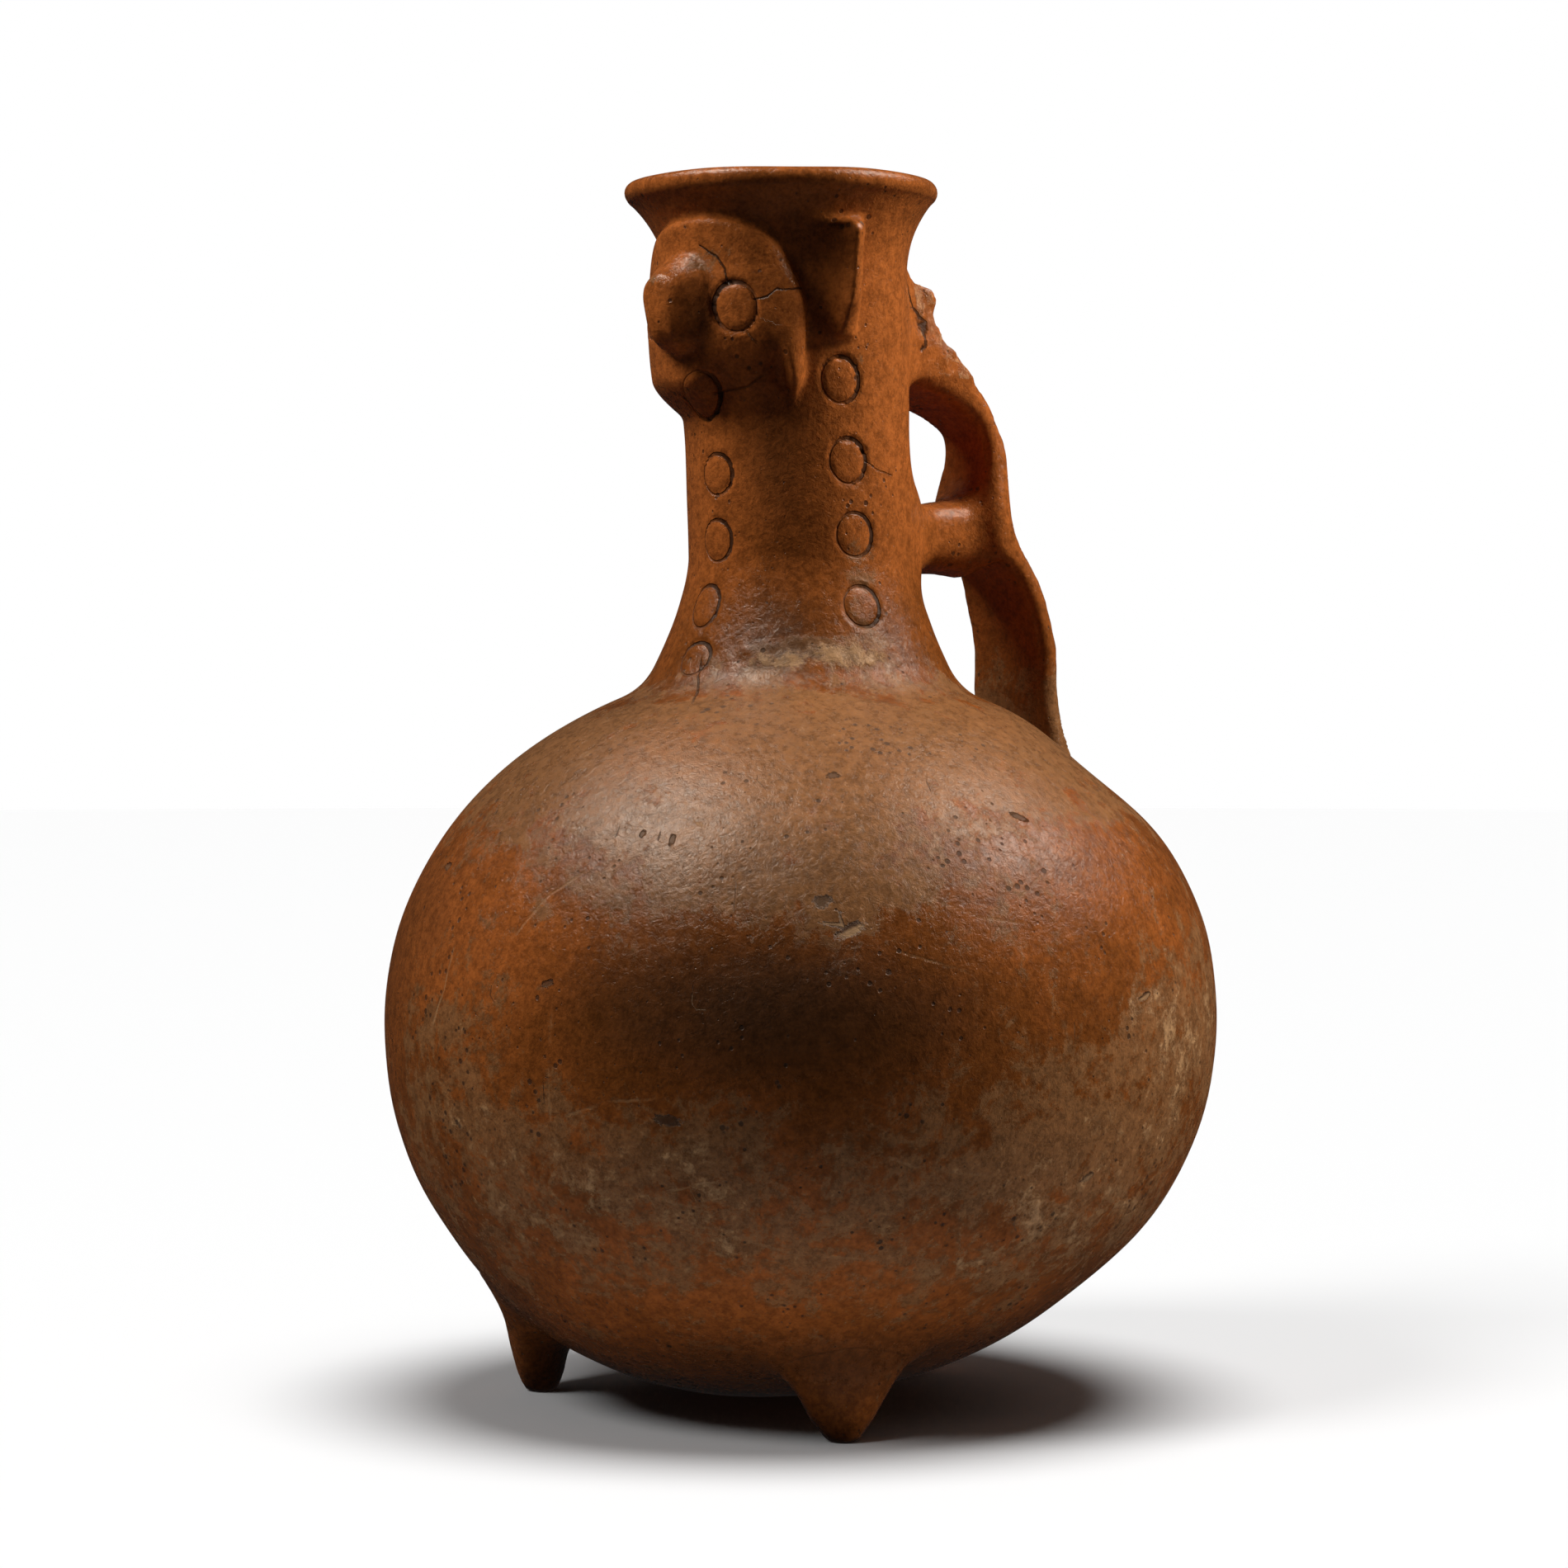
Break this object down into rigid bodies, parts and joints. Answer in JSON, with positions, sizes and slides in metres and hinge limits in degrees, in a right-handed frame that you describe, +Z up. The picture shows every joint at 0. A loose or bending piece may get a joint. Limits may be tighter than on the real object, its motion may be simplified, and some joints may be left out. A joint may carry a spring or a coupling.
{
  "type": "terracotta jug",
  "caption": "Hollow terracotta jug: round belly on short tapered feet, tall neck with a raised mask and stamped rings, flared rim, and a strap handle with finger loops and a broken end.",
  "frame": {"origin": "on the floor, under the middle of the belly", "axes": "+Z up; the raised mask looks along -Y and the handle is at +Y"},
  "size_m": [0.237, 0.2378, 0.35],
  "materials": {
    "terracotta": "burnished unglazed clay, mottled orange-brown, worn and pitted"
  },
  "bodies": {
    "root": {"jug": "terracotta"}
  },
  "joints": []
}
